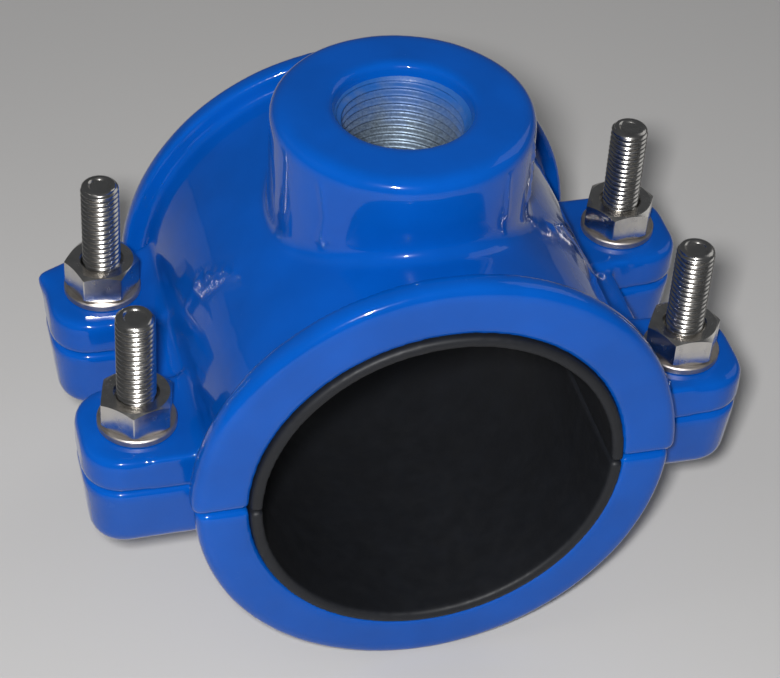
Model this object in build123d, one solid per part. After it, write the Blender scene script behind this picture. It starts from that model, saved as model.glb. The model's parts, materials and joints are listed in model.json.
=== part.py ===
from build123d import *
import math
import os

# Rubber-lined saddle clamp with a threaded branch outlet.
# Units are millimetres. The pipe axis is Y, the branch axis is +Z,
# the origin is the middle of the pipe axis and the halves part at z = 0.

# Pipe and rubber liner
PIPE_DIAMETER = 90.0
LINER_THICKNESS = 3.2
LINER_END_PROUD = 1.1
LINER_SPLIT_GAP = 0.2
LINER_EDGE_RADIUS = 0.8
LINER_BRANCH_RADIUS = 17.5

# Cast half barrels
HALF_LENGTH = 52.8
BORE_RADIUS = PIPE_DIAMETER / 2 + LINER_THICKNESS
UPPER_BARREL_RADIUS = 57.6
LOWER_BARREL_RADIUS = 56.8
COLLAR_WIDTH = 6.5
UPPER_COLLAR_RADIUS = 62.8
LOWER_COLLAR_RADIUS = 61.5
COLLAR_FACE_ROUND = 2.9
COLLAR_BACK_ROUND = 1.2
COLLAR_ROOT_ROUND = 1.6
BORE_EDGE_ROUND = 0.8
BARREL_SPLIT_ROUND = 1.8
SPLIT_RELIEF = 0.05
FOOT_FLAT_LEVEL = 61.2

# Side rails along the split line
RAIL_OUTER_X = 65.6
UPPER_RAIL_HEIGHT = 9.0
LOWER_RAIL_HEIGHT = 9.0
RAIL_ROUND = 2.0
RAIL_ROOT_ROUND = 5.0

# Ears for the bolts
BOLT_X = 71.5
BOLT_Y = 26.5
EAR_HALF_WIDTH = 15.0
EAR_CORNER_ROUND = 10.5
UPPER_EAR_HEIGHT = 10.4
UPPER_EAR_TOP_ROUND = 2.4
LOWER_EAR_DEPTH = 20.0
LOWER_EAR_DRAFT = 6.0
LOWER_EAR_BOTTOM_ROUND = 5.0
EAR_SPLIT_ROUND = 1.8
EAR_ROOT_X = 50.0
EAR_ROOT_MARGIN = 3.0
EAR_HOLE_RADIUS = 5.5
HEAD_POCKET_DEPTH = 4.6
HEAD_POCKET_ACROSS_FLATS = 17.5

# Branch boss, female parallel pipe thread G 1
BOSS_RADIUS = 33.0
BOSS_TOP = 79.0
BOSS_TOP_ROUND = 3.6
BOSS_ROOT_ROUND = 4.0
BRANCH_THREAD_RADIUS = 16.65
BRANCH_MOUTH_RADIUS = 17.3
BRANCH_MOUTH_DEPTH = 3.0
BRANCH_MOUTH_ROUND = 1.4

# Fasteners, M10
BOLT_LENGTH = 60.0
BOLT_RADIUS = 4.98
BOLT_TIP_CHAMFER = 1.4
HEAD_HEIGHT = 6.4
ACROSS_FLATS = 17.0
HEX_CHAMFER_ANGLE = 30.0
HEX_CHAMFER_INSET = 0.2
HEX_EDGE_ROUND = 0.35
NUT_HEIGHT = 8.0
NUT_BORE_RADIUS = 5.05
NUT_COUNTERSINK = 0.7
WASHER_RADIUS = 10.0
WASHER_BORE_RADIUS = 5.25
WASHER_THICKNESS = 2.0
WASHER_EDGE_CHAMFER = 0.3

# Ways a cylinder stands on its own origin
UPWARD = (Align.CENTER, Align.CENTER, Align.MIN)
DOWNWARD = (Align.CENTER, Align.CENTER, Align.MAX)

# The four corners and the angle each nut has come to rest at, in degrees
CORNERS = {
    "front_left": (-1, -1, 16.0),
    "front_right": (1, -1, 58.0),
    "back_left": (-1, 1, 52.0),
    "back_right": (1, 1, 3.0),
}


def ring_profile(collar_radius, barrel_radius):
    """Half section of a collared barrel: x is the radius, y runs along the pipe."""
    inner_y = HALF_LENGTH - COLLAR_WIDTH
    wall = barrel_radius - BORE_RADIUS
    profile = Pos(BORE_RADIUS + wall / 2, 0) * Rectangle(wall, 2 * HALF_LENGTH)
    for side in (-1, 1):
        middle_y = side * (HALF_LENGTH - COLLAR_WIDTH / 2)
        width = collar_radius - BORE_RADIUS
        collar = Pos((BORE_RADIUS + collar_radius) / 2, middle_y) * Rectangle(width, COLLAR_WIDTH)
        profile = profile + collar
    profile = profile.clean()
    outer = [v for v in profile.vertices() if abs(v.X - collar_radius) < 0.01]
    face = [v for v in outer if abs(v.Y) > HALF_LENGTH - 0.01]
    profile = fillet(face, COLLAR_FACE_ROUND)
    inner = [v for v in profile.vertices() if abs(abs(v.Y) - inner_y) < 0.01]
    back = [v for v in inner if abs(v.X - collar_radius) < 0.01]
    profile = fillet(back, COLLAR_BACK_ROUND)
    root = [v for v in profile.vertices() if abs(v.X - barrel_radius) < 0.01]
    root = [v for v in root if abs(abs(v.Y) - inner_y) < 0.01]
    profile = fillet(root, COLLAR_ROOT_ROUND)
    bore = [v for v in profile.vertices() if abs(v.X - BORE_RADIUS) < 0.01]
    return fillet(bore, BORE_EDGE_ROUND)


def half_space(side):
    """Block that keeps one half of the clamp, clear of the split plane."""
    size = 4 * HALF_LENGTH
    return Pos(0, 0, side * (size / 2 + SPLIT_RELIEF)) * Box(size, size, size)


def collared_barrel(side, collar_radius, barrel_radius):
    """Half barrel with a collar at each end, softened along its split edges."""
    ring = revolve(ring_profile(collar_radius, barrel_radius), Axis.Y)
    half = ring & half_space(side)
    split = [e for e in half.edges() if on_split(e) and abs(e.center().X) > BORE_RADIUS + 1]
    return fillet(split, BARREL_SPLIT_ROUND)


def on_split(edge):
    """True for an edge lying in the split face of either half."""
    box = edge.bounding_box()
    level = abs(edge.center().Z)
    return abs(level - SPLIT_RELIEF) < 0.01 and box.max.Z - box.min.Z < 0.01


def flange_bar(side, barrel_radius, height, outer_x, middle_y, length):
    """Bar along the split line on both hands, blended into the barrel."""
    section = Circle(barrel_radius)
    for hand in (-1, 1):
        middle_x = hand * (outer_x + EAR_ROOT_X) / 2
        section = section + Pos(middle_x, 0) * Rectangle(outer_x - EAR_ROOT_X, 2 * height)
    corners = [v for v in section.vertices() if abs(abs(v.X) - outer_x) < 0.01]
    section = fillet(corners, RAIL_ROUND)
    roots = [v for v in section.vertices() if abs(v.X) < barrel_radius and abs(abs(v.Y) - height) < 0.01]
    section = fillet(roots, RAIL_ROOT_ROUND)
    section = section - Circle((BORE_RADIUS + barrel_radius) / 2)
    bar = extrude(Plane.XZ * section, length / 2, both=True) & half_space(side)
    split = [e for e in bar.edges() if on_split(e) and abs(abs(e.center().X) - outer_x) < 0.01]
    return Pos(0, middle_y, 0) * fillet(split, EAR_SPLIT_ROUND)


def ear_plan(half_width):
    """Plan of one ear in the positive corner, reaching back into the barrel."""
    outer_x = BOLT_X + half_width
    length = outer_x - EAR_ROOT_X
    plan = Pos((outer_x + EAR_ROOT_X) / 2, BOLT_Y) * Rectangle(length, 2 * half_width)
    tips = [v for v in plan.vertices() if v.X > BOLT_X]
    return fillet(tips, EAR_CORNER_ROUND)


def rim_beyond_root(face):
    """Edges of an ear's face that lie clear of the end buried in the barrel."""
    return [e for e in face.edges() if e.bounding_box().max.X > EAR_ROOT_X + EAR_ROOT_MARGIN]


def upper_ear():
    """One upper ear with a flat washer seat on top."""
    ear = Pos(0, 0, SPLIT_RELIEF) * extrude(ear_plan(EAR_HALF_WIDTH), UPPER_EAR_HEIGHT - SPLIT_RELIEF)
    ear = fillet(rim_beyond_root(ear.faces().sort_by(Axis.Z)[-1]), UPPER_EAR_TOP_ROUND)
    return fillet(rim_beyond_root(ear.faces().sort_by(Axis.Z)[0]), EAR_SPLIT_ROUND)


def lower_ear():
    """One lower ear: deeper, with draft and a softer underside."""
    height = LOWER_EAR_DEPTH - SPLIT_RELIEF
    plan = Pos(0, 0, -SPLIT_RELIEF) * ear_plan(EAR_HALF_WIDTH)
    ear = extrude(plan, height, dir=(0, 0, -1), taper=LOWER_EAR_DRAFT)
    ear = fillet(rim_beyond_root(ear.faces().sort_by(Axis.Z)[0]), LOWER_EAR_BOTTOM_ROUND)
    return fillet(rim_beyond_root(ear.faces().sort_by(Axis.Z)[-1]), EAR_SPLIT_ROUND)


def at_corner(shape, side_x, side_y):
    """Copy a shape made in the positive corner to another corner by mirroring."""
    placed = shape
    if side_x < 0:
        placed = mirror(placed, Plane.YZ)
    if side_y < 0:
        placed = mirror(placed, Plane.XZ)
    return placed


def barrel_bore():
    """Clear space inside the castings."""
    return Rot(90, 0, 0) * Cylinder(BORE_RADIUS, 3 * HALF_LENGTH)


def make_upper_shell():
    shell = collared_barrel(1, UPPER_COLLAR_RADIUS, UPPER_BARREL_RADIUS)
    shell = shell + flange_bar(1, UPPER_BARREL_RADIUS, UPPER_RAIL_HEIGHT, RAIL_OUTER_X, 0, 2 * BOLT_Y)
    for middle_y in (-BOLT_Y, BOLT_Y):
        saddle = flange_bar(1, UPPER_BARREL_RADIUS, UPPER_EAR_HEIGHT, BOLT_X, middle_y, 2 * EAR_HALF_WIDTH)
        shell = shell + saddle
    ear = upper_ear()
    for side_x, side_y, turn in CORNERS.values():
        shell = shell + at_corner(ear, side_x, side_y)
    foot = BORE_RADIUS / 2
    shell = shell + Pos(0, 0, foot) * Cylinder(BOSS_RADIUS, BOSS_TOP - foot, align=UPWARD)
    root = [e for e in shell.edges() if is_boss_root(e)]
    shell = fillet(root, BOSS_ROOT_ROUND)
    shell = shell - barrel_bore()
    shell = shell - branch_bore()
    rim = [e for e in shell.edges() if on_circle(e, BOSS_RADIUS, BOSS_TOP)]
    shell = fillet(rim, BOSS_TOP_ROUND)
    mouth = [e for e in shell.edges() if on_circle(e, BRANCH_MOUTH_RADIUS, BOSS_TOP)]
    shell = fillet(mouth, BRANCH_MOUTH_ROUND)
    return shell - bolt_holes(0, UPPER_EAR_HEIGHT)


def is_boss_root(edge):
    """True for the curved edge where the boss meets the barrel."""
    middle = edge @ 0.5
    reach = math.hypot(middle.X, middle.Y)
    return abs(reach - BOSS_RADIUS) < 0.05 and BORE_RADIUS / 2 < middle.Z < BOSS_TOP - 1


def on_circle(edge, radius, level):
    """True for a level circle round the branch axis."""
    middle = edge @ 0.5
    return abs(math.hypot(middle.X, middle.Y) - radius) < 0.05 and abs(middle.Z - level) < 0.05


def branch_bore():
    """Outlet bore at the thread's major radius, with a wider painted mouth."""
    hole = Cylinder(BRANCH_THREAD_RADIUS, 2 * BOSS_TOP, align=UPWARD)
    mouth_floor = Pos(0, 0, BOSS_TOP - BRANCH_MOUTH_DEPTH)
    return hole + mouth_floor * Cylinder(BRANCH_MOUTH_RADIUS, BOSS_TOP, align=UPWARD)


def bolt_holes(bottom, top):
    """Clearance holes through all four ears between two levels."""
    holes = None
    for side_x, side_y, turn in CORNERS.values():
        height = top - bottom + 2
        hole = Pos(side_x * BOLT_X, side_y * BOLT_Y, (top + bottom) / 2) * Cylinder(EAR_HOLE_RADIUS, height)
        holes = hole if holes is None else holes + hole
    return holes


def make_lower_shell():
    shell = collared_barrel(-1, LOWER_COLLAR_RADIUS, LOWER_BARREL_RADIUS)
    shell = shell + flange_bar(-1, LOWER_BARREL_RADIUS, LOWER_RAIL_HEIGHT, RAIL_OUTER_X, 0, 2 * BOLT_Y)
    ear = lower_ear()
    for side_x, side_y, turn in CORNERS.values():
        shell = shell + at_corner(ear, side_x, side_y)
    shell = shell - barrel_bore()
    shell = shell - bolt_holes(-LOWER_EAR_DEPTH, 0)
    for side_x, side_y, turn in CORNERS.values():
        pocket_level = HEAD_POCKET_DEPTH - LOWER_EAR_DEPTH
        place = Pos(side_x * BOLT_X, side_y * BOLT_Y, pocket_level)
        outline = RegularPolygon(HEAD_POCKET_ACROSS_FLATS / 2, 6, major_radius=False, rotation=30)
        pocket = place * extrude(outline, -(HEAD_POCKET_DEPTH + 1))
        shell = shell - pocket
    size = 4 * HALF_LENGTH
    return shell - Pos(0, 0, -FOOT_FLAT_LEVEL) * Box(size, size, size, align=DOWNWARD)


def make_liner(side):
    """Half rubber lining; the upper one is pierced for the branch."""
    length = 2 * (HALF_LENGTH + LINER_END_PROUD)
    profile = Pos(BORE_RADIUS - LINER_THICKNESS / 2, 0) * Rectangle(LINER_THICKNESS, length)
    profile = fillet(profile.vertices(), LINER_EDGE_RADIUS)
    tube = revolve(profile, Axis.Y)
    size = 4 * HALF_LENGTH
    keep = Pos(0, 0, side * (size / 2 + LINER_SPLIT_GAP)) * Box(size, size, size)
    half = tube & keep
    if side > 0:
        half = half - Pos(0, 0, BORE_RADIUS) * Cylinder(LINER_BRANCH_RADIUS, BORE_RADIUS)
    return half


def hexagon(height, turn):
    """Hexagonal prism with its corners chamfered at both ends."""
    outline = RegularPolygon(ACROSS_FLATS / 2, 6, major_radius=False, rotation=turn)
    prism = extrude(fillet(outline.vertices(), HEX_EDGE_ROUND), height)
    corner = ACROSS_FLATS / math.sqrt(3)
    start = ACROSS_FLATS / 2 - HEX_CHAMFER_INSET
    drop = (corner - start) * math.tan(math.radians(HEX_CHAMFER_ANGLE))
    lower = [(0, 0), (start, 0), (corner, drop)]
    upper = [(corner, height - drop), (start, height), (0, height)]
    half = Polyline(*lower, *upper, close=True)
    return prism & revolve(make_face(Plane.XZ * half), Axis.Z)


def make_bolt(side_x, side_y):
    """Hexagon-head bolt, head held in the pocket under the lower ear."""
    seat = HEAD_POCKET_DEPTH - LOWER_EAR_DEPTH
    head = Pos(0, 0, seat - HEAD_HEIGHT) * hexagon(HEAD_HEIGHT, 30)
    shank = Pos(0, 0, seat) * Cylinder(BOLT_RADIUS, BOLT_LENGTH, align=UPWARD)
    tip = shank.faces().sort_by(Axis.Z)[-1].edges()
    shank = chamfer(tip, BOLT_TIP_CHAMFER)
    return Pos(side_x * BOLT_X, side_y * BOLT_Y, 0) * (head + shank)


def make_washer(side_x, side_y):
    """Plain washer lying on the upper ear."""
    disc = Cylinder(WASHER_RADIUS, WASHER_THICKNESS, align=UPWARD)
    rims = [e for e in disc.edges() if e.geom_type == GeomType.CIRCLE]
    disc = chamfer(rims, WASHER_EDGE_CHAMFER)
    ring = disc - Cylinder(WASHER_BORE_RADIUS, WASHER_THICKNESS, align=UPWARD)
    return Pos(side_x * BOLT_X, side_y * BOLT_Y, UPPER_EAR_HEIGHT) * ring


def make_nut(side_x, side_y, turn):
    """Hexagon nut on the washer, bore plain with a countersink at each end."""
    body = hexagon(NUT_HEIGHT, turn) - Cylinder(NUT_BORE_RADIUS, NUT_HEIGHT, align=UPWARD)
    mouths = [e for e in body.edges() if abs(e.length - 2 * math.pi * NUT_BORE_RADIUS) < 0.05]
    body = chamfer(mouths, NUT_COUNTERSINK)
    level = UPPER_EAR_HEIGHT + WASHER_THICKNESS
    return Pos(side_x * BOLT_X, side_y * BOLT_Y, level) * body


def main():
    os.makedirs("parts", exist_ok=True)
    nodes = {
        "upper_shell": make_upper_shell(),
        "lower_shell": make_lower_shell(),
        "upper_liner": make_liner(1),
        "lower_liner": make_liner(-1),
    }
    for corner, (side_x, side_y, turn) in CORNERS.items():
        nodes["bolt_" + corner] = make_bolt(side_x, side_y)
        nodes["washer_" + corner] = make_washer(side_x, side_y)
        nodes["nut_" + corner] = make_nut(side_x, side_y, turn)
    for name, shape in nodes.items():
        export_step(shape, "parts/" + name + ".step")


if __name__ == "__main__":
    main()
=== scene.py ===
"""Rubber-lined saddle clamp with a threaded branch outlet: painted castings, rubber lining,
cut outlet thread, threaded bolts, nuts, washers and a plain stage. Lengths are in metres."""

import json
import math

import bmesh
import bpy
from bpy.props import FloatProperty, FloatVectorProperty, IntProperty, PointerProperty
from mathutils import Matrix, Vector, geometry, noise
from mathutils.bvhtree import BVHTree


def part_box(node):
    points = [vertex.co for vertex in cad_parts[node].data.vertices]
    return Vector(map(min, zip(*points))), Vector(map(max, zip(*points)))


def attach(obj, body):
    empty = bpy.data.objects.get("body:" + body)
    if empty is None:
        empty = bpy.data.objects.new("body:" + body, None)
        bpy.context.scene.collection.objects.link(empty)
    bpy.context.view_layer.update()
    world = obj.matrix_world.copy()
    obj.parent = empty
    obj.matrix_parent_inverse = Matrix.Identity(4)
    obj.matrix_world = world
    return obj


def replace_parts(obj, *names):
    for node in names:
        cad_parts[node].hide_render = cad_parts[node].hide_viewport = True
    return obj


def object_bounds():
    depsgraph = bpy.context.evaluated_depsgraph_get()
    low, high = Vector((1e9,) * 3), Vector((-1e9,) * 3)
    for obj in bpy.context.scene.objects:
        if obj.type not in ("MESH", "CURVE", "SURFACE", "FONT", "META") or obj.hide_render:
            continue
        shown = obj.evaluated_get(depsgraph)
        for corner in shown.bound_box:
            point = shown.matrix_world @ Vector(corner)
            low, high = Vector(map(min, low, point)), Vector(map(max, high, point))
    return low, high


bl_info = {
    "name": "Branch Saddle Clamp",
    "version": (1, 0, 0),
    "blender": (4, 5, 0),
    "location": "3D View > Sidebar > Clamp",
    "description": "Builds the finished pieces of a branch saddle clamp round its packed frame",
    "category": "Object",
}

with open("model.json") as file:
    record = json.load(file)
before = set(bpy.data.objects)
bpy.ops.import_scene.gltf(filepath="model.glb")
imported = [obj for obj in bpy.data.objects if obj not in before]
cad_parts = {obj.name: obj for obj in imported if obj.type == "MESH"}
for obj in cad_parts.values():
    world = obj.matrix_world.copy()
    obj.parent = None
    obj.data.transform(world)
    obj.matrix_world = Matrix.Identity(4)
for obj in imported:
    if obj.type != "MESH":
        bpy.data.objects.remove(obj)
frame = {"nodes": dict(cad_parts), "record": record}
CAD_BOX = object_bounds()

MM = 0.001
WELD = 0.001 * MM
CORNERS = ("front_left", "front_right", "back_left", "back_right")


def mount(name):
    """A mount of the packed record, by its name."""
    return next(m for m in frame["record"]["mounts"] if m["name"] == name)


def middle(node):
    """Middle of a packed node's box."""
    low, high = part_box(node)
    return (low + high) / 2


PIPE_RADIUS = mount("pipe_bore")["dims"]["r_mm"] * MM
LINING_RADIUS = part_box("upper_liner")[1].x
OUTLET_RADIUS = mount("branch_thread")["dims"]["r_mm"] * MM
OUTLET_LENGTH = mount("branch_thread")["dims"]["length_mm"] * MM
OUTLET_TOP = mount("branch_thread")["pos_m"][2] + OUTLET_LENGTH / 2
BOSS_RADIUS = 33 * MM
BARREL_RADIUS = 57.6 * MM
WASHER_RADIUS = (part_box("washer_front_left")[1].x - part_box("washer_front_left")[0].x) / 2
BOLT_PLACES = [middle("washer_" + corner).xy for corner in CORNERS]
FLOOR_LEVEL = CAD_BOX[0][2]


# ---------------------------------------------------------------- settings


class CastingSettings(bpy.types.PropertyGroup):
    """The two painted castings."""

    grain: FloatProperty(
        name="Grain",
        description="Spacing of the casting's surface grid",
        default=0.90 * MM,
        min=0.4 * MM,
        subtype="DISTANCE",
        unit="LENGTH",
        precision=5,
    )
    softening: IntProperty(
        name="Softening",
        description="Rounds of softening that the thick coating gives each edge",
        default=5,
        min=0,
        max=20,
    )
    ripple_height: FloatProperty(
        name="Ripple Height",
        description="How far the slow waves of the coating rise and fall",
        default=0.09 * MM,
        subtype="DISTANCE",
        unit="LENGTH",
        precision=5,
    )
    ripple_length: FloatProperty(
        name="Ripple Length",
        description="Typical distance from one wave of the coating to the next",
        default=13 * MM,
        subtype="DISTANCE",
        unit="LENGTH",
        precision=5,
    )
    colour: FloatVectorProperty(
        name="Coating Colour",
        description="Colour of the epoxy coating where it lies thick",
        default=(0.0006, 0.071, 0.375),
        size=3,
        min=0,
        max=1,
        subtype="COLOR",
    )
    edge_colour: FloatVectorProperty(
        name="Thin Coating Colour",
        description="Colour of the epoxy coating where it thins out over edges",
        default=(0.0010, 0.092, 0.450),
        size=3,
        min=0,
        max=1,
        subtype="COLOR",
    )


class LiningSettings(bpy.types.PropertyGroup):
    """The two rubber half linings."""

    grain: FloatProperty(
        name="Grain",
        description="Spacing of the lining's surface grid",
        default=0.95 * MM,
        min=0.4 * MM,
        subtype="DISTANCE",
        unit="LENGTH",
        precision=5,
    )
    softening: IntProperty(
        name="Softening",
        description="Rounds of softening along the moulded edges",
        default=2,
        min=0,
        max=20,
    )
    colour: FloatVectorProperty(
        name="Rubber Colour",
        description="Colour of clean rubber",
        default=(0.0058, 0.0064, 0.0082),
        size=3,
        min=0,
        max=1,
        subtype="COLOR",
    )
    bloom_colour: FloatVectorProperty(
        name="Bloom Colour",
        description="Colour of the dull bloom and dust on the rubber",
        default=(0.0080, 0.0092, 0.0125),
        size=3,
        min=0,
        max=1,
        subtype="COLOR",
    )


class OutletSettings(bpy.types.PropertyGroup):
    """The pipe thread cut in the branch outlet."""

    pitch: FloatProperty(
        name="Pitch",
        description="Distance between thread crests, 11 to the inch",
        default=25.4 / 11 * MM,
        subtype="DISTANCE",
        unit="LENGTH",
        precision=6,
    )
    crest_radius: FloatProperty(
        name="Crest Radius",
        description="Radius to the crests of the inside thread",
        default=15.15 * MM,
        subtype="DISTANCE",
        unit="LENGTH",
        precision=5,
    )
    steps: IntProperty(
        name="Steps",
        description="Number of facets round one turn",
        default=80,
        min=12,
    )
    colour: FloatVectorProperty(
        name="Cut Metal Colour",
        description="Colour of the bare cut metal",
        default=(0.20, 0.26, 0.33),
        size=3,
        min=0,
        max=1,
        subtype="COLOR",
    )
    coating_colour: FloatVectorProperty(
        name="Stray Coating Colour",
        description="Colour of the thin coating carried over the first turns",
        default=(0.008, 0.080, 0.30),
        size=3,
        min=0,
        max=1,
        subtype="COLOR",
    )


class FastenerSettings(bpy.types.PropertyGroup):
    """The M10 bolts, nuts and washers."""

    pitch: FloatProperty(
        name="Pitch",
        description="Distance between thread crests",
        default=1.5 * MM,
        subtype="DISTANCE",
        unit="LENGTH",
        precision=6,
    )
    crest_radius: FloatProperty(
        name="Crest Radius",
        description="Radius to the crests of the bolt thread",
        default=4.98 * MM,
        subtype="DISTANCE",
        unit="LENGTH",
        precision=5,
    )
    root_radius: FloatProperty(
        name="Root Radius",
        description="Radius to the roots of the bolt thread",
        default=4.12 * MM,
        subtype="DISTANCE",
        unit="LENGTH",
        precision=5,
    )
    head_height: FloatProperty(
        name="Head Height",
        description="Height of the hexagon head",
        default=6.4 * MM,
        subtype="DISTANCE",
        unit="LENGTH",
        precision=5,
    )
    steps: IntProperty(
        name="Steps",
        description="Number of facets round one turn of the thread",
        default=48,
        min=12,
    )
    colour: FloatVectorProperty(
        name="Steel Colour",
        description="Colour of the stainless steel",
        default=(0.60, 0.58, 0.55),
        size=3,
        min=0,
        max=1,
        subtype="COLOR",
    )
    washer_colour: FloatVectorProperty(
        name="Washer Colour",
        description="Colour of the duller washers",
        default=(0.40, 0.37, 0.35),
        size=3,
        min=0,
        max=1,
        subtype="COLOR",
    )


class StageSettings(bpy.types.PropertyGroup):
    """Floor, lamps and camera."""

    azimuth: FloatProperty(
        name="Camera Azimuth",
        description="Angle of the camera round the clamp, from straight in front",
        default=math.radians(-16.78),
        subtype="ANGLE",
        unit="ROTATION",
    )
    elevation: FloatProperty(
        name="Camera Elevation",
        description="Angle of the camera above the floor",
        default=math.radians(40.35),
        subtype="ANGLE",
        unit="ROTATION",
    )
    roll: FloatProperty(
        name="Camera Roll",
        description="Tilt of the camera about its line of sight",
        default=math.radians(3.87),
        subtype="ANGLE",
        unit="ROTATION",
    )
    distance: FloatProperty(
        name="Camera Distance",
        description="Distance from the camera to the point it looks at",
        default=659.95 * MM,
        subtype="DISTANCE",
        unit="LENGTH",
    )
    lens: FloatProperty(
        name="Lens",
        description="Focal length of the camera in millimetres",
        default=115.30,
        unit="CAMERA",
    )
    floor_colour: FloatVectorProperty(
        name="Floor Colour",
        description="Colour of the plain floor",
        default=(0.52, 0.51, 0.50),
        size=3,
        min=0,
        max=1,
        subtype="COLOR",
    )
    key_power: FloatProperty(
        name="Key Power",
        description="Power of the lamp beside the camera, in watts",
        default=5.6,
        unit="POWER",
    )


# ---------------------------------------------------------------- shaping


def skin_of(node):
    """Welded copy of a packed node's skin."""
    skin = bmesh.new()
    skin.from_mesh(frame["nodes"][node].data)
    bmesh.ops.remove_doubles(skin, verts=skin.verts, dist=WELD)
    return skin


def regrid(node, grain):
    """Copy of a packed node as an even grid of small faces lying on its skin."""
    skin = skin_of(node)
    surface = BVHTree.FromBMesh(skin)
    blank = bpy.data.objects.new(node + "_blank", bpy.data.meshes.new(node + "_blank"))
    skin.to_mesh(blank.data)
    skin.free()
    bpy.context.scene.collection.objects.link(blank)
    remesh = blank.modifiers.new("grid", "REMESH")
    remesh.mode = "VOXEL"
    remesh.voxel_size = grain
    evaluated = blank.evaluated_get(bpy.context.evaluated_depsgraph_get())
    grid = bmesh.new()
    grid.from_mesh(evaluated.to_mesh())
    evaluated.to_mesh_clear()
    bpy.data.meshes.remove(blank.data)
    for vert in grid.verts:
        vert.co = surface.find_nearest(vert.co)[0]
    return grid


def soften(grid, passes):
    """Round off edges and fill in corners, as a thick coating or a worn mould does."""
    for _ in range(passes):
        bmesh.ops.smooth_vert(
            grid, verts=grid.verts, factor=0.5, use_axis_x=True, use_axis_y=True, use_axis_z=True
        )


def raise_surface(grid, height_at):
    """Move each vertex along its normal by the height that its place calls for."""
    grid.normal_update()
    heights = [height_at(vert.co) for vert in grid.verts]
    for vert, height in zip(grid.verts, heights):
        vert.co += vert.normal * height


def bell(distance, reach):
    """Smooth fall from 1 at no distance to 0 a few reaches away."""
    return math.exp(-((distance / reach) ** 2))


def step_up(value, low, high):
    """Smooth rise from 0 at low to 1 at high."""
    share = min(1.0, max(0.0, (value - low) / (high - low)))
    return share * share * (3 - 2 * share)


# Points along one pitch of a thread, and how far its swing is cut short to flatten crest and root
PITCH_POINTS = 10
CREST_FLATTENING = 1.06


def thread_outline(inner, outer, pitch):
    """Radius and height of points along one pitch of a thread, crest to crest."""
    outline = []
    for point in range(PITCH_POINTS + 1):
        swing = CREST_FLATTENING * math.cos(math.tau * point / PITCH_POINTS)
        radius = (inner + outer) / 2 + (outer - inner) / 2 * min(1.0, max(-1.0, swing))
        outline.append((radius, pitch * point / PITCH_POINTS))
    return outline


def helix(outline, pitch, turns, steps):
    """Thread surface from height 0 up: one turn spun from its outline, repeated and welded."""
    thread = bmesh.new()
    verts = [thread.verts.new((radius, 0, height)) for radius, height in outline]
    edges = [thread.edges.new(pair) for pair in zip(verts, verts[1:])]
    bmesh.ops.spin(
        thread,
        geom=verts + edges,
        cent=(0, 0, 0),
        axis=(0, 0, 1),
        dvec=(0, 0, pitch / steps),
        angle=math.tau,
        steps=steps,
        use_merge=False,
    )
    turn = thread.verts[:] + thread.edges[:] + thread.faces[:]
    for lift in range(1, turns):
        copied = bmesh.ops.duplicate(thread, geom=turn)["geom"]
        moved = [part for part in copied if isinstance(part, bmesh.types.BMVert)]
        bmesh.ops.translate(thread, verts=moved, vec=(0, 0, lift * pitch))
    bmesh.ops.remove_doubles(thread, verts=thread.verts, dist=WELD)
    return thread


def trim(shape, low, high):
    """Cut a shape off square below one level and above another."""
    for level, direction in ((low, -1), (high, 1)):
        bmesh.ops.bisect_plane(
            shape,
            geom=shape.verts[:] + shape.edges[:] + shape.faces[:],
            dist=WELD,
            plane_co=(0, 0, level),
            plane_no=(0, 0, direction),
            clear_outer=True,
        )


def rim(shape, level):
    """Open edges of a shape at one level."""
    return [
        edge
        for edge in shape.edges
        if edge.is_boundary and all(abs(vert.co.z - level) < 10 * WELD for vert in edge.verts)
    ]


def extend(shape, ring, place):
    """Extrude a ring of open edges and put each new vertex at the radius and height of its angle."""
    made = bmesh.ops.extrude_edge_only(shape, edges=ring)["geom"]
    for vert in made:
        if isinstance(vert, bmesh.types.BMVert):
            angle = math.atan2(vert.co.y, vert.co.x)
            radius, height = place(angle)
            vert.co = (radius * math.cos(angle), radius * math.sin(angle), height)
    return [part for part in made if isinstance(part, bmesh.types.BMEdge) and part.is_boundary]


def hexagon_reach(angle, across_flats, corner_cut):
    """Distance from the middle of a hexagon to its side, with its corners cut a little."""
    side = math.radians(60)
    off_middle = (angle + side / 2) % side - side / 2
    corner = across_flats / math.sqrt(3)
    return min(across_flats / 2 / math.cos(off_middle), corner - corner_cut)


def finish_piece(shape, name, body, material, sharp=None):
    """Make a shape a piece that rides on a body. Edges sharper than the given angle stay crisp."""
    bmesh.ops.recalc_face_normals(shape, faces=shape.faces)
    for face in shape.faces:
        face.smooth = True
    if sharp is not None:
        for edge in shape.edges:
            edge.smooth = len(edge.link_faces) == 2 and edge.calc_face_angle() < sharp
    mesh = bpy.data.meshes.new(name)
    shape.to_mesh(mesh)
    shape.free()
    mesh.materials.append(material)
    piece = bpy.data.objects.new(name, mesh)
    bpy.context.scene.collection.objects.link(piece)
    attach(piece, body)
    return piece


# ---------------------------------------------------------------- finishes


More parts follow.
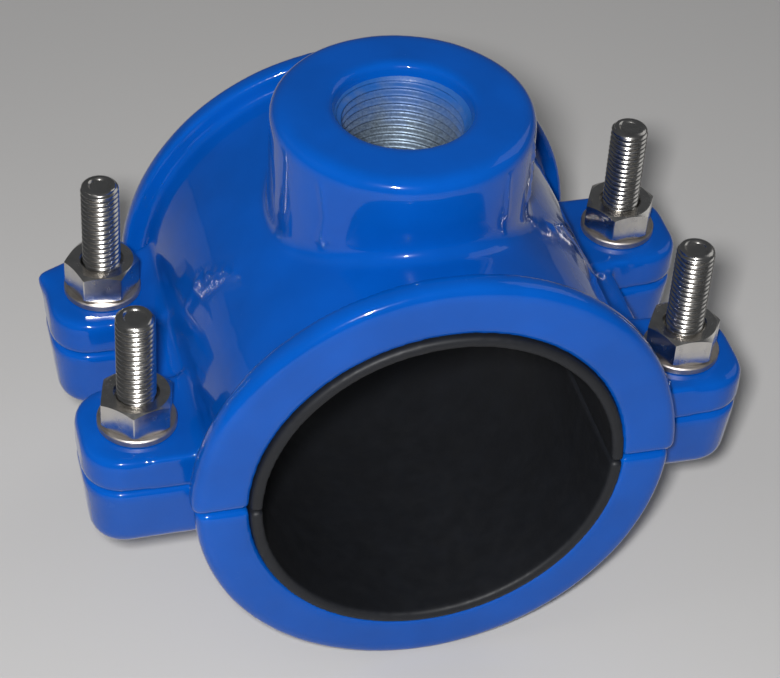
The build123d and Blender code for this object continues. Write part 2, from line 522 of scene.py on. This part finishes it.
class Finish:
    """A material under construction, with short ways to add and join its nodes."""

    def __init__(self, name):
        self.material = bpy.data.materials.new(name)
        self.material.use_nodes = True
        self.tree = self.material.node_tree
        self.shader = self.tree.nodes["Principled BSDF"]
        self.place = self.tree.nodes.new("ShaderNodeTexCoord").outputs["Object"]

    def node(self, kind, inputs, **settings):
        """Add a node with its settings; each input is a value or another node's output."""
        node = self.tree.nodes.new("ShaderNode" + kind)
        for name, value in settings.items():
            setattr(node, name, value)
        for name, value in inputs.items():
            self.feed(node.inputs[name], value)
        return node

    def feed(self, socket, value):
        """Link an output to a socket, or set the socket to a plain value."""
        if isinstance(value, bpy.types.NodeSocket):
            self.tree.links.new(value, socket)
        else:
            socket.default_value = value

    def noise(self, size, detail=2.0, roughness=0.5, stretch=(1, 1, 1)):
        """Cloudy pattern whose features are about the given size."""
        place = self.node("Mapping", {"Vector": self.place, "Scale": stretch}).outputs["Vector"]
        inputs = {"Vector": place, "Scale": 1 / size, "Detail": detail, "Roughness": roughness}
        return self.node("TexNoise", inputs).outputs["Fac"]

    def between(self, pattern, low, high, to_low=0.0, to_high=1.0):
        """Stretch the part of a pattern between two levels over a new range."""
        inputs = {"Value": pattern, "From Min": low, "From Max": high}
        inputs.update({"To Min": to_low, "To Max": to_high})
        return self.node("MapRange", inputs).outputs["Result"]

    def mix(self, share, first, second):
        """Blend two colours by a pattern."""
        node = self.node("Mix", {}, data_type="RGBA")
        self.feed(node.inputs["Factor"], share)
        self.feed(node.inputs[6], first)
        self.feed(node.inputs[7], second)
        return node.outputs[2]

    def edges(self, low, high):
        """Pattern that is 1 on outer edges and 0 elsewhere."""
        point = self.node("NewGeometry", {}).outputs["Pointiness"]
        return self.between(point, low, high)

    def bump(self, pattern, depth, strength=1.0, under=None):
        """Small relief of the given depth, on top of an earlier relief."""
        inputs = {"Height": pattern, "Distance": depth, "Strength": strength}
        if under is not None:
            inputs["Normal"] = under
        return self.node("Bump", inputs).outputs["Normal"]

    def shade(self, **sockets):
        """Set or link the shader's sockets, named with underscores for spaces."""
        for name, value in sockets.items():
            self.feed(self.shader.inputs[name.replace("_", " ")], value)
        return self.material


def opaque(colour):
    """A colour property as a shader colour."""
    return (*colour, 1.0)


def epoxy_coating(settings):
    """Thick gloss epoxy: slow colour drift, thin at edges, gentle waves and orange peel."""
    finish = Finish("blue_epoxy_coating")
    deep = opaque(settings.colour)
    shaded = opaque([0.86 * part for part in settings.colour])
    drift = finish.between(finish.noise(22 * MM, 3.0), 0.35, 0.65)
    colour = finish.mix(drift, shaded, deep)
    colour = finish.mix(finish.edges(0.52, 0.60), colour, opaque(settings.edge_colour))
    haze = finish.between(finish.noise(6 * MM, 4.0, 0.6), 0.4, 0.8, 0.16, 0.30)
    waves = finish.bump(finish.noise(7 * MM, 1.0), 0.05 * MM, 0.6)
    peel = finish.bump(finish.noise(1.1 * MM, 1.0), 0.006 * MM, 0.6, waves)
    return finish.shade(
        Base_Color=colour,
        Roughness=haze,
        Specular_IOR_Level=0.05,
        Coat_Weight=1.0,
        Coat_Roughness=0.035,
        Coat_IOR=1.34,
        Normal=peel,
        Coat_Normal=waves,
    )


def moulded_rubber(settings):
    """Dark rubber with a dull bloom, rubbed edges and a fine moulded grain."""
    finish = Finish("moulded_rubber")
    bloom = finish.between(finish.noise(9 * MM, 5.0, 0.65), 0.42, 0.75, 0.1, 0.8)
    colour = finish.mix(bloom, opaque(settings.colour), opaque(settings.bloom_colour))
    colour = finish.mix(finish.edges(0.51, 0.58), colour, opaque(settings.bloom_colour))
    rough = finish.between(finish.noise(4 * MM, 3.0), 0.3, 0.7, 0.50, 0.60)
    relief = finish.bump(finish.noise(8 * MM, 1.0), 0.02 * MM, 0.2)
    grain = finish.bump(finish.noise(0.35 * MM, 2.0), 0.006 * MM, 0.5, relief)
    return finish.shade(Base_Color=colour, Roughness=rough, Specular_IOR_Level=0.35, Normal=grain)


def cut_metal(settings):
    """Bare iron as the tap left it, glittering, with coating carried over its first turns."""
    finish = Finish("cut_metal")
    dull = opaque([0.6 * part for part in settings.colour])
    flecks = finish.between(finish.noise(0.6 * MM, 3.0, 0.6), 0.40, 0.62)
    metal = finish.mix(flecks, dull, opaque(settings.colour))
    height = finish.node("SeparateXYZ", {"Vector": finish.place}).outputs["Z"]
    stray = finish.between(finish.noise(4 * MM, 3.0), 0.3, 0.7, -2.5 * MM, 2.5 * MM)
    level = finish.node("Math", {0: height, 1: stray}, operation="ADD").outputs["Value"]
    coated = finish.between(level, OUTLET_TOP - 16 * MM, OUTLET_TOP - 1 * MM)
    colour = finish.mix(coated, metal, opaque(settings.coating_colour))
    bare = finish.between(coated, 0.0, 1.0, 0.75, 0.0)
    rough = finish.between(finish.noise(0.8 * MM, 3.0), 0.35, 0.65, 0.40, 0.55)
    tears = finish.bump(finish.noise(0.9 * MM, 3.0, 0.6, (1, 1, 2)), 0.05 * MM, 0.6)
    glitter = finish.bump(finish.noise(0.35 * MM, 2.0, 0.6), 0.03 * MM, 0.7, tears)
    return finish.shade(Base_Color=colour, Metallic=bare, Roughness=rough, Normal=glitter)


def stainless_steel(name, steel_colour, smooth, dull, stretch=(1, 1, 1)):
    """Rolled or turned stainless steel, with a painted highlight along its edges."""
    finish = Finish(name)
    grey = opaque([0.85 * part for part in steel_colour])
    tint = finish.between(finish.noise(4 * MM, 3.0, 0.5), 0.35, 0.7)
    colour = finish.mix(tint, grey, opaque(steel_colour))
    # Lighter steel colour on the outer edges: a painted highlight.
    painted_edge_highlight = opaque([min(1.0, 1.25 * part) for part in steel_colour])
    colour = finish.mix(finish.edges(0.53, 0.62), colour, painted_edge_highlight)
    rough = finish.between(finish.noise(1.6 * MM, 3.0, 0.5, stretch), 0.3, 0.7, smooth, dull)
    lines = finish.bump(finish.noise(0.6 * MM, 2.0, 0.5, stretch), 0.0012 * MM, 0.5)
    dents = finish.bump(finish.noise(3.5 * MM, 1.0), 0.02 * MM, 0.3, lines)
    return finish.shade(Base_Color=colour, Metallic=1.0, Roughness=rough, Normal=dents)


def plain_floor(settings):
    """Matt pale floor with the faintest unevenness."""
    finish = Finish("pale_floor")
    warm = opaque([0.97 * part for part in settings.floor_colour])
    drift = finish.between(finish.noise(220 * MM, 2.0), 0.3, 0.7)
    colour = finish.mix(drift, warm, opaque(settings.floor_colour))
    return finish.shade(Base_Color=colour, Roughness=0.55, Specular_IOR_Level=0.3)


# ---------------------------------------------------------------- castings


def on_boss(degrees, height):
    """Point on the boss wall at an angle round the branch and a height above the pipe axis."""
    angle = math.radians(degrees)
    return Vector((BOSS_RADIUS * math.cos(angle), BOSS_RADIUS * math.sin(angle), height * MM))


def on_barrel(degrees, along):
    """Point on the upper barrel at an angle round the pipe and a distance along it."""
    angle = math.radians(degrees)
    return Vector((BARREL_RADIUS * math.cos(angle), along * MM, BARREL_RADIUS * math.sin(angle)))


# Lines on the castings that flaws in the coating follow
LEFT_BOSS_LINE = (on_boss(-141, 73), on_boss(-138, 64), on_boss(-140, 57))
RIGHT_BOSS_LINE = (on_boss(-30, 74), on_boss(-27, 66), on_boss(-29, 58))
FRONT_BOSS_LINE = (on_boss(-53, 73), on_boss(-52, 62))
RIGHT_BARREL_LINE = (
    on_barrel(48, -9.5),
    on_barrel(41, -3),
    on_barrel(35, -6),
    on_barrel(29, -13),
)
LEFT_BARREL_LINE = (
    on_barrel(158, 3),
    on_barrel(152, 4),
    on_barrel(147, 2),
    on_barrel(139, -6),
)

# Smooth runs: the line, its width and its height
RUNS = (
    (LEFT_BOSS_LINE, 0.9 * MM, 0.30 * MM),
    (RIGHT_BOSS_LINE, 1.1 * MM, 0.40 * MM),
    (FRONT_BOSS_LINE, 0.8 * MM, 0.22 * MM),
    (RIGHT_BARREL_LINE, 1.3 * MM, 0.45 * MM),
)

# Crinkled lines: the line, its width, the length of a crinkle and its height
CRINKLES = (
    (LEFT_BARREL_LINE, 1.3 * MM, 1.9 * MM, 0.30 * MM),
    (RIGHT_BOSS_LINE, 1.6 * MM, 1.9 * MM, 0.40 * MM),
    (RIGHT_BARREL_LINE[:2], 1.6 * MM, 1.9 * MM, 0.35 * MM),
)

# Distance from the start of a line past which its flaw has no effect
FLAW_RANGE = 30 * MM

# Small quick waves on top of the slow ones: how much shorter, and their share of the height
QUICK_RATIO = 3.1
QUICK_SHARE = 0.22

# Where the coating's waves begin and are full: past a washer's rim, the lining and the thread
WASHER_MARGIN = 3 * MM
LINING_MARGIN = (0.3 * MM, 2 * MM)
THREAD_MARGIN = (0.3 * MM, 1.5 * MM)

# Flash left proud on the back left ear: middle, reach, and how far it is drawn out
FLASH_MIDDLE = Vector((-84.8, 35.0, 8.6)) * MM
FLASH_REACH = 3.2 * MM
FLASH_PULL = Vector((-1.7, 0.6, 0.5)) * MM


def distance_to_line(place, points):
    """Shortest distance from a place to a line of straight runs."""
    shortest = math.inf
    for start, end in zip(points, points[1:]):
        foot, share = geometry.intersect_point_line(place, start, end)
        foot = start if share < 0 else end if share > 1 else foot
        shortest = min(shortest, (place - foot).length)
    return shortest


def bolt_clearance(place):
    """0 under and near a washer, 1 well away from every bolt."""
    nearest = min((place.xy - middle_xy).length for middle_xy in BOLT_PLACES)
    return step_up(nearest, WASHER_RADIUS, WASHER_RADIUS + WASHER_MARGIN)


def bore_clearance(place):
    """0 on faces that meet the lining or the thread, 1 on the outside."""
    from_pipe = math.hypot(place.x, place.z)
    outside = step_up(from_pipe, LINING_RADIUS + LINING_MARGIN[0], LINING_RADIUS + LINING_MARGIN[1])
    from_branch = place.xy.length
    low, high = (OUTLET_RADIUS + margin for margin in THREAD_MARGIN)
    return outside * step_up(from_branch, low, high)


def coating_height(settings, place):
    """How far the coating stands above the casting at a place."""
    slow = noise.noise(place / settings.ripple_length)
    quick = noise.noise(place * QUICK_RATIO / settings.ripple_length)
    height = settings.ripple_height * (slow + QUICK_SHARE * quick)
    height *= bolt_clearance(place) * bore_clearance(place)
    for points, width, rise in RUNS:
        if (place - points[0]).length < FLAW_RANGE:
            height += rise * bell(distance_to_line(place, points), width)
    for points, width, length, rise in CRINKLES:
        if (place - points[0]).length < FLAW_RANGE:
            share = bell(distance_to_line(place, points), width)
            height += rise * share * (0.4 + noise.noise(place / length))
    return height


def cast_half(settings, node, name, body, material):
    """One painted casting."""
    shape = regrid(node, settings.grain)
    soften(shape, settings.softening)
    raise_surface(shape, lambda place: coating_height(settings, place))
    if body == "upper_half":
        for vert in shape.verts:
            vert.co += FLASH_PULL * bell((vert.co - FLASH_MIDDLE).length, FLASH_REACH)
    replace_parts(finish_piece(shape, name, body, material), node)


class CLAMP_OT_castings(bpy.types.Operator):
    """Make the two painted castings"""

    bl_idname = "clamp.castings"
    bl_label = "Cast and Paint Halves"

    def execute(self, context):
        settings = context.scene.clamp_castings
        material = epoxy_coating(settings)
        cast_half(settings, "upper_shell", "upper_casting", "upper_half", material)
        cast_half(settings, "lower_shell", "lower_casting", "lower_half", material)
        return {"FINISHED"}


# ---------------------------------------------------------------- lining


LINING_WAVE_HEIGHT = 0.08 * MM
LINING_WAVE_LENGTH = 14 * MM


def lining_height(place):
    """Slight unevenness of the moulded rubber, none where it lies on the casting."""
    inside = 1 - step_up(math.hypot(place.x, place.z), PIPE_RADIUS + 1 * MM, PIPE_RADIUS + 3 * MM)
    return inside * LINING_WAVE_HEIGHT * noise.noise(place / LINING_WAVE_LENGTH)


class CLAMP_OT_lining(bpy.types.Operator):
    """Make the rubber linings of both halves"""

    bl_idname = "clamp.lining"
    bl_label = "Line Halves with Rubber"

    def execute(self, context):
        settings = context.scene.clamp_lining
        material = moulded_rubber(settings)
        for half in ("upper", "lower"):
            shape = regrid(half + "_liner", settings.grain)
            soften(shape, settings.softening)
            raise_surface(shape, lining_height)
            piece = finish_piece(shape, half + "_lining", half + "_half", material)
            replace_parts(piece, half + "_liner")
        return {"FINISHED"}


# ---------------------------------------------------------------- outlet thread


# How far the thread's roots stand inside the bore, and how far its back is sunk in the iron
ROOT_INSET = 0.15 * MM
BACK_SINK = 0.4 * MM
OUTLET_CRISP_ANGLE = math.radians(50)


class CLAMP_OT_outlet_thread(bpy.types.Operator):
    """Cut the pipe thread of the branch outlet"""

    bl_idname = "clamp.outlet_thread"
    bl_label = "Cut Outlet Thread"

    def execute(self, context):
        settings = context.scene.clamp_outlet
        top = OUTLET_TOP
        root = OUTLET_RADIUS - ROOT_INSET
        wall = OUTLET_RADIUS + BACK_SINK
        bottom = LINING_RADIUS + BACK_SINK
        turns = math.ceil((top - bottom) / settings.pitch) + 2
        outline = thread_outline(settings.crest_radius, root, settings.pitch)
        thread = helix(outline, settings.pitch, turns, settings.steps)
        bmesh.ops.translate(thread, verts=thread.verts, vec=(0, 0, bottom - settings.pitch))
        trim(thread, bottom, top)
        for vert in thread.verts:
            countersink = wall - (top - vert.co.z)
            reach = vert.co.xy.length
            vert.co.xy *= max(reach, countersink) / reach
        for level in (bottom, top):
            extend(thread, rim(thread, level), lambda angle: (wall, level))
        open_edges = [edge for edge in thread.edges if edge.is_boundary]
        bmesh.ops.bridge_loops(thread, edges=open_edges)
        metal = cut_metal(settings)
        body, slot = "upper_half", "stainless_steel"
        finish_piece(thread, "outlet_thread", body, metal, OUTLET_CRISP_ANGLE)
        return {"FINISHED"}


# ---------------------------------------------------------------- fasteners

# How far each bolt happens to be turned, in degrees
BOLT_TURNS = {"front_left": 20, "front_right": 145, "back_left": 250, "back_right": 80}
DOME_HEIGHT = 1.5 * MM
DOME_RADIUS = 3.2 * MM
CUP_RADIUS = 3.0 * MM
CUP_WALL = 0.45 * MM
CUP_DEPTH = 0.55 * MM
CUP_RIM_FALL = 0.05 * MM
CUP_FLOOR_FALL = 0.15 * MM
ACROSS_FLATS = 17 * MM
HEAD_FACE_RADIUS = 8.3 * MM
HEAD_CHAMFER_SLOPE = math.tan(math.radians(30))
CORNER_CUT = 0.12 * MM
BOLT_CRISP_ANGLE = math.radians(40)


def shape_bolt(settings, seat, tip):
    """A fully threaded bolt standing on its seat, with a cupped tip and a hexagon head below."""
    turns = math.ceil((tip - seat) / settings.pitch) + 2
    outline = thread_outline(settings.root_radius, settings.crest_radius, settings.pitch)
    bolt = helix(outline, settings.pitch, turns, settings.steps)
    bmesh.ops.translate(bolt, verts=bolt.verts, vec=(0, 0, seat - settings.pitch))
    trim(bolt, seat, tip)
    for vert in bolt.verts:
        rise = max(0.0, 1 - (tip - vert.co.z) / DOME_HEIGHT)
        swell = math.sqrt(max(0.0, 1 - rise * rise))
        dome = DOME_RADIUS + (settings.crest_radius - DOME_RADIUS) * swell
        reach = vert.co.xy.length
        vert.co.xy *= min(reach, dome) / reach
    ring = rim(bolt, tip)
    ring = extend(bolt, ring, lambda angle: (CUP_RADIUS, tip - CUP_RIM_FALL))
    ring = extend(bolt, ring, lambda angle: (CUP_RADIUS - CUP_WALL, tip - CUP_DEPTH))
    ring = extend(bolt, ring, lambda angle: (CUP_RADIUS / 3, tip - CUP_DEPTH - CUP_FLOOR_FALL))
    bmesh.ops.edgeloop_fill(bolt, edges=ring)
    shape_head(bolt, rim(bolt, seat), seat, seat - settings.head_height)
    return bolt


def shape_head(bolt, ring, seat, end):
    """Hexagon head grown from the ring of edges at the bolt's seat."""

    def side(angle):
        return hexagon_reach(angle, ACROSS_FLATS, CORNER_CUT)

    def chamfered(angle):
        return side(angle), end + max(0.0, side(angle) - HEAD_FACE_RADIUS) * HEAD_CHAMFER_SLOPE

    ring = extend(bolt, ring, lambda angle: (side(angle), seat))
    ring = extend(bolt, ring, chamfered)
    ring = extend(bolt, ring, lambda angle: (HEAD_FACE_RADIUS, end))
    bmesh.ops.edgeloop_fill(bolt, edges=ring)


class CLAMP_OT_bolts(bpy.types.Operator):
    """Make the four threaded bolts"""

    bl_idname = "clamp.bolts"
    bl_label = "Make Bolts"

    def execute(self, context):
        settings = context.scene.clamp_fasteners
        material = stainless_steel("rolled_steel", settings.colour, 0.17, 0.26, (1, 1, 4))
        for corner in CORNERS:
            low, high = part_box("bolt_" + corner)
            bolt = shape_bolt(settings, low.z + settings.head_height, high.z)
            turn = Matrix.Rotation(math.radians(BOLT_TURNS[corner]), 4, "Z")
            bmesh.ops.rotate(bolt, verts=bolt.verts, cent=(0, 0, 0), matrix=turn)
            place = (low + high) / 2
            bmesh.ops.translate(bolt, verts=bolt.verts, vec=(place.x, place.y, 0))
            name = "threaded_bolt_" + corner
            piece = finish_piece(bolt, name, "lower_half", material, BOLT_CRISP_ANGLE)
            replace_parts(piece, "bolt_" + corner)
        return {"FINISHED"}


class CLAMP_OT_nuts_and_washers(bpy.types.Operator):
    """Give the packed nuts and washers their steel finish"""

    bl_idname = "clamp.nuts_and_washers"
    bl_label = "Finish Nuts and Washers"

    def execute(self, context):
        settings = context.scene.clamp_fasteners
        nut_steel = stainless_steel("forged_steel", settings.colour, 0.20, 0.28)
        washer_steel = stainless_steel("pressed_steel", settings.washer_colour, 0.42, 0.55)
        for corner in CORNERS:
            for node, material in (("nut_", nut_steel), ("washer_", washer_steel)):
                for slot in frame["nodes"][node + corner].material_slots:
                    slot.material = material
        return {"FINISHED"}


# ---------------------------------------------------------------- stage

LOOK_AT = Vector((0.49, 0, 3.44)) * MM
FLOOR_SIZE = 6.0
SENSOR_WIDTH = 36
SKY_COLOUR = (0.80, 0.84, 0.90, 1)
SKY_STRENGTH = 0.09

# Key lamp: its place beside the camera, as right, up and back of it, and its size
KEY_PLACE = (-0.024, 0.014, 0.01)
KEY_SIZE = 0.04

# Fill lamps: name, place, size, power in watts, and whether glossy faces reflect the lamp
FILLS = (
    ("left_fill", (-1.5, 0.1, 1.0), 1.0, 3.0, False),
    ("right_fill", (1.4, 0.5, 1.1), 1.0, 2.0, True),
    ("back_left_fill", (-1.6, 1.0, 0.9), 0.9, 5.0, False),
    ("back_right_fill", (1.6, 1.0, 0.9), 0.9, 5.0, False),
)


def place_camera(settings):
    """Camera looking down at the clamp from the front left."""
    azimuth, elevation = settings.azimuth, settings.elevation
    level = math.cos(elevation)
    back = Vector((math.sin(azimuth) * level, -math.cos(azimuth) * level, math.sin(elevation)))
    right = Vector((math.cos(azimuth), math.sin(azimuth), 0))
    facing = Matrix((right, back.cross(right), back)).transposed().to_4x4()
    data = bpy.data.cameras.new("camera")
    data.lens = settings.lens
    data.sensor_width = SENSOR_WIDTH
    camera = bpy.data.objects.new("camera", data)
    bpy.context.scene.collection.objects.link(camera)
    place = Matrix.Translation(LOOK_AT + back * settings.distance)
    camera.matrix_world = place @ Matrix.Rotation(settings.roll, 4, back) @ facing
    bpy.context.scene.camera = camera
    return camera


def place_lamp(name, place, size, power):
    """Soft square lamp that faces the clamp."""
    data = bpy.data.lights.new(name, "AREA")
    data.size = size
    data.energy = power
    lamp = bpy.data.objects.new(name, data)
    lamp.location = place
    lamp.rotation_euler = (LOOK_AT - Vector(place)).to_track_quat("-Z", "Y").to_euler()
    bpy.context.scene.collection.objects.link(lamp)
    return lamp


class CLAMP_OT_stage(bpy.types.Operator):
    """Set up the floor, the lamps and the camera"""

    bl_idname = "clamp.stage"
    bl_label = "Set the Stage"

    def execute(self, context):
        settings = context.scene.clamp_stage
        shape = bmesh.new()
        bmesh.ops.create_grid(shape, x_segments=1, y_segments=1, size=FLOOR_SIZE / 2)
        bmesh.ops.translate(shape, verts=shape.verts, vec=(0, 0, FLOOR_LEVEL))
        mesh = bpy.data.meshes.new("floor")
        shape.to_mesh(mesh)
        shape.free()
        mesh.materials.append(plain_floor(settings))
        floor = bpy.data.objects.new("floor", mesh)
        context.scene.collection.objects.link(floor)
        camera = place_camera(settings)
        beside = camera.matrix_world @ Vector(KEY_PLACE)
        place_lamp("key_lamp", beside, KEY_SIZE, settings.key_power)
        for name, place, size, power, reflected in FILLS:
            place_lamp(name, place, size, power).visible_glossy = reflected
        world = bpy.data.worlds.new("studio")
        world.use_nodes = True
        sky = world.node_tree.nodes["Background"]
        sky.inputs["Color"].default_value = SKY_COLOUR
        sky.inputs["Strength"].default_value = SKY_STRENGTH
        context.scene.world = world
        context.scene.view_settings.view_transform = "Standard"
        return {"FINISHED"}


# ---------------------------------------------------------------- add-on

SETTINGS = {
    "clamp_castings": CastingSettings,
    "clamp_lining": LiningSettings,
    "clamp_outlet": OutletSettings,
    "clamp_fasteners": FastenerSettings,
    "clamp_stage": StageSettings,
}
OPERATORS = (
    CLAMP_OT_castings,
    CLAMP_OT_lining,
    CLAMP_OT_outlet_thread,
    CLAMP_OT_bolts,
    CLAMP_OT_nuts_and_washers,
    CLAMP_OT_stage,
)


class CLAMP_PT_panel(bpy.types.Panel):
    """The clamp's making, step by step"""

    bl_idname = "CLAMP_PT_panel"
    bl_label = "Branch Saddle Clamp"
    bl_space_type = "VIEW_3D"
    bl_region_type = "UI"
    bl_category = "Clamp"

    def draw(self, context):
        for operator in OPERATORS:
            self.layout.operator(operator.bl_idname)
        for name, group in SETTINGS.items():
            box = self.layout.box()
            box.label(text=group.__doc__)
            for field in group.__annotations__:
                box.prop(getattr(context.scene, name), field)


def register():
    for name, group in SETTINGS.items():
        bpy.utils.register_class(group)
        setattr(bpy.types.Scene, name, PointerProperty(type=group))
    for operator in OPERATORS:
        bpy.utils.register_class(operator)
    bpy.utils.register_class(CLAMP_PT_panel)


def unregister():
    bpy.utils.unregister_class(CLAMP_PT_panel)
    for operator in reversed(OPERATORS):
        bpy.utils.unregister_class(operator)
    for name, group in reversed(SETTINGS.items()):
        delattr(bpy.types.Scene, name)
        bpy.utils.unregister_class(group)


def main():
    """Make every piece in order."""
    register()
    bpy.ops.clamp.castings()
    bpy.ops.clamp.lining()
    bpy.ops.clamp.outlet_thread()
    bpy.ops.clamp.bolts()
    bpy.ops.clamp.nuts_and_washers()
    bpy.ops.clamp.stage()


if __name__ == "__main__":
    main()
